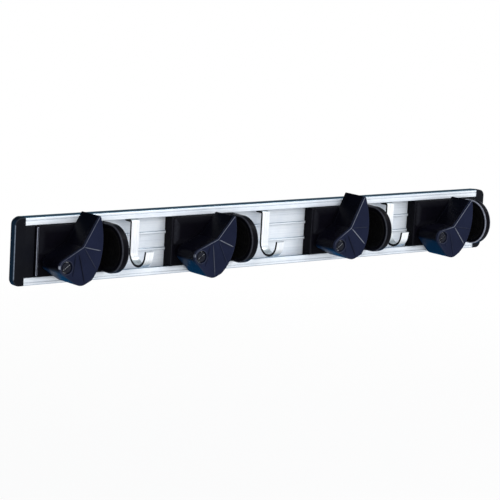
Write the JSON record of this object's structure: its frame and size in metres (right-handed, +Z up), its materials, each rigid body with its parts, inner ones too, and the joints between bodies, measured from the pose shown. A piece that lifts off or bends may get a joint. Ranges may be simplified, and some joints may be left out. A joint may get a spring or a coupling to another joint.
{
  "type": "wall mop holder rack",
  "caption": "Aluminium wall rail with sliding cam holders that grip mop and broom handles, and J-shaped strip hooks between them; black plastic caps close its ends.",
  "frame": {"origin": "middle of the rail's back face, on the wall plane", "axes": "+X along the rail to the right as seen from the front, +Y into the wall, +Z up"},
  "size_m": [0.644, 0.051, 0.0772],
  "materials": {
    "rail_aluminium": "satin anodised extrusion, drawn along its length",
    "hook_aluminium": "bright satin strip",
    "black_plastic": "fine-grained black moulding with a slight sheen",
    "jaw_plastic": "smooth black moulding with a slight sheen",
    "cover_plastic": "blue-black moulding, satin",
    "grip_rubber": "dull black rubber",
    "steel": "zinc-bright, turned"
  },
  "bodies": {
    "rack": {"rail": "rail_aluminium", "end_cap_left": "black_plastic", "end_cap_right": "black_plastic"},
    "holder_1": {"carriage_1": "black_plastic", "grip_disc_1": "grip_rubber", "pivot_bolt_1": "steel", "pivot_washer_1": "steel", "pivot_nut_1": "steel"},
    "jaw_1": {"jaw_body_1": "jaw_plastic", "jaw_cover_1": "cover_plastic", "jaw_tread_1": "grip_rubber"},
    "holder_2": {"carriage_2": "black_plastic", "grip_disc_2": "grip_rubber", "pivot_bolt_2": "steel", "pivot_washer_2": "steel", "pivot_nut_2": "steel"},
    "jaw_2": {"jaw_body_2": "jaw_plastic", "jaw_cover_2": "cover_plastic", "jaw_tread_2": "grip_rubber"},
    "holder_3": {"carriage_3": "black_plastic", "grip_disc_3": "grip_rubber", "pivot_bolt_3": "steel", "pivot_washer_3": "steel", "pivot_nut_3": "steel"},
    "jaw_3": {"jaw_body_3": "jaw_plastic", "jaw_cover_3": "cover_plastic", "jaw_tread_3": "grip_rubber"},
    "holder_4": {"carriage_4": "black_plastic", "grip_disc_4": "grip_rubber", "pivot_bolt_4": "steel", "pivot_washer_4": "steel", "pivot_nut_4": "steel"},
    "jaw_4": {"jaw_body_4": "jaw_plastic", "jaw_cover_4": "cover_plastic", "jaw_tread_4": "grip_rubber"},
    "strip_hook_1": {"hook_1": "hook_aluminium"},
    "strip_hook_2": {"hook_2": "hook_aluminium"},
    "strip_hook_3": {"hook_3": "hook_aluminium"}
  },
  "joints": [
    {"name": "holder_1_slide", "type": "slide", "parent": "rack", "child": "holder_1", "axis": [1, 0, 0], "range_m": [-0.0006, 0.0131]},
    {"name": "jaw_1_lift", "type": "hinge", "parent": "holder_1", "child": "jaw_1", "pos_m": [-0.2845, -0.03, -0.011], "axis": [0, -1, 0], "range_deg": [-9, 26]},
    {"name": "holder_2_slide", "type": "slide", "parent": "rack", "child": "holder_2", "axis": [1, 0, 0], "range_m": [-0.0205, 0.0161]},
    {"name": "jaw_2_lift", "type": "hinge", "parent": "holder_2", "child": "jaw_2", "pos_m": [-0.11904, -0.03, -0.011], "axis": [0, -1, 0], "range_deg": [0, 35]},
    {"name": "holder_3_slide", "type": "slide", "parent": "rack", "child": "holder_3", "axis": [1, 0, 0], "range_m": [-0.0296, 0.0116]},
    {"name": "jaw_3_lift", "type": "hinge", "parent": "holder_3", "child": "jaw_3", "pos_m": [0.07053, -0.03, -0.011], "axis": [0, -1, 0], "range_deg": [-15, 20]},
    {"name": "holder_4_slide", "type": "slide", "parent": "rack", "child": "holder_4", "axis": [1, 0, 0], "range_m": [-0.0161, 0.0006]},
    {"name": "jaw_4_lift", "type": "hinge", "parent": "holder_4", "child": "jaw_4", "pos_m": [0.224, -0.03, -0.011], "axis": [0, -1, 0], "range_deg": [0, 35]},
    {"name": "hook_1_slide", "type": "slide", "parent": "rack", "child": "strip_hook_1", "axis": [1, 0, 0], "range_m": [-0.0131, 0.0205]},
    {"name": "hook_2_slide", "type": "slide", "parent": "rack", "child": "strip_hook_2", "axis": [1, 0, 0], "range_m": [-0.0161, 0.0296]},
    {"name": "hook_3_slide", "type": "slide", "parent": "rack", "child": "strip_hook_3", "axis": [1, 0, 0], "range_m": [-0.0116, 0.0161]}
  ]
}
